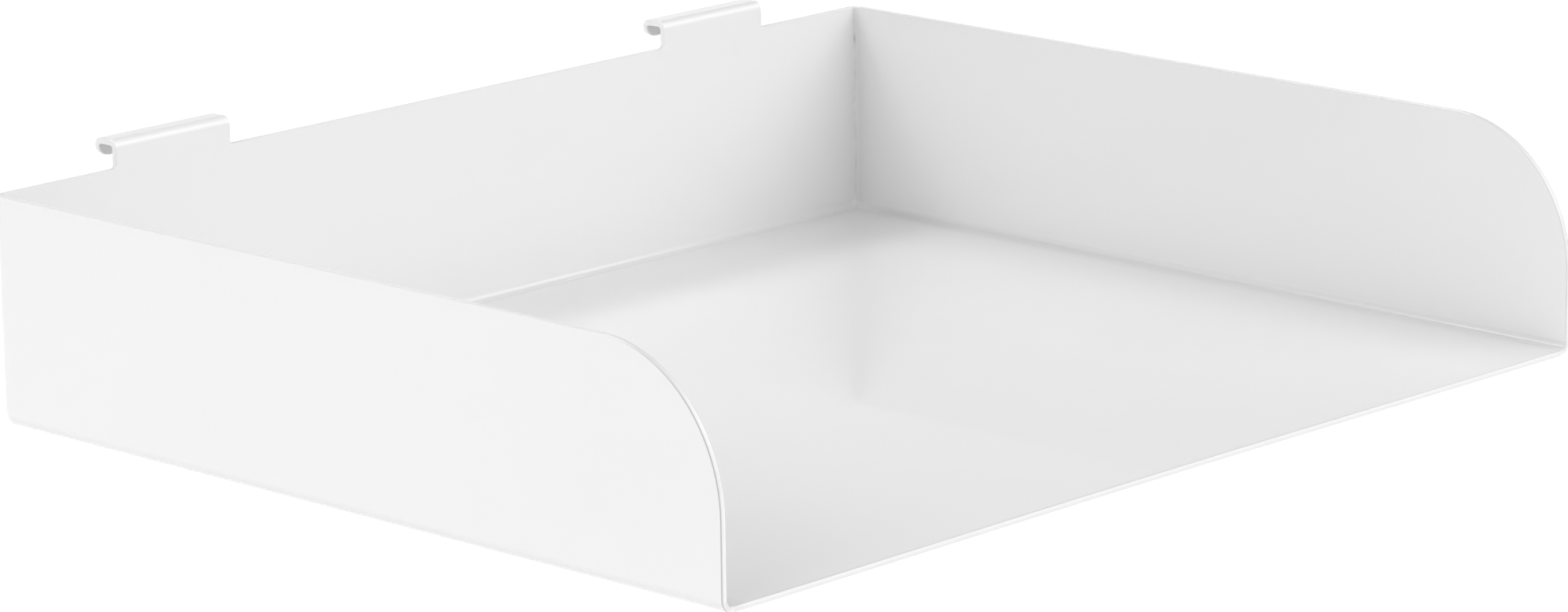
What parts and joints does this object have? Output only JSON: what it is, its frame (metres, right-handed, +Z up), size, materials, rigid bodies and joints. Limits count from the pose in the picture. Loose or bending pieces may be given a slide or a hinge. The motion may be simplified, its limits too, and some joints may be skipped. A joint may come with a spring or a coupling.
{
  "type": "hook-on desk tray",
  "caption": "Open-front sheet-steel tray with rounded front corners and rear hooks that hang it from a rail under a desk.",
  "frame": {"origin": "centre of the bounding box at the underside of the floor, so the tray stands on Z = 0", "axes": "+Z up; +Y towards the rear, where the hooks hang on their rail; -Y out of the open front; +X to the right of someone facing the open front"},
  "size_m": [0.31, 0.2546, 0.0656],
  "materials": {
    "white_powder_coat": "glossy white powder coat with a fine orange peel over sheet steel"
  },
  "bodies": {
    "root": {"floor_panel": "white_powder_coat", "left_floor_fold": "white_powder_coat", "right_floor_fold": "white_powder_coat", "rear_floor_fold": "white_powder_coat", "left_side_panel": "white_powder_coat", "right_side_panel": "white_powder_coat", "back_panel": "white_powder_coat", "left_hook": "white_powder_coat", "right_hook": "white_powder_coat", "rear_left_corner_weld": "white_powder_coat", "rear_right_corner_weld": "white_powder_coat"}
  },
  "joints": []
}
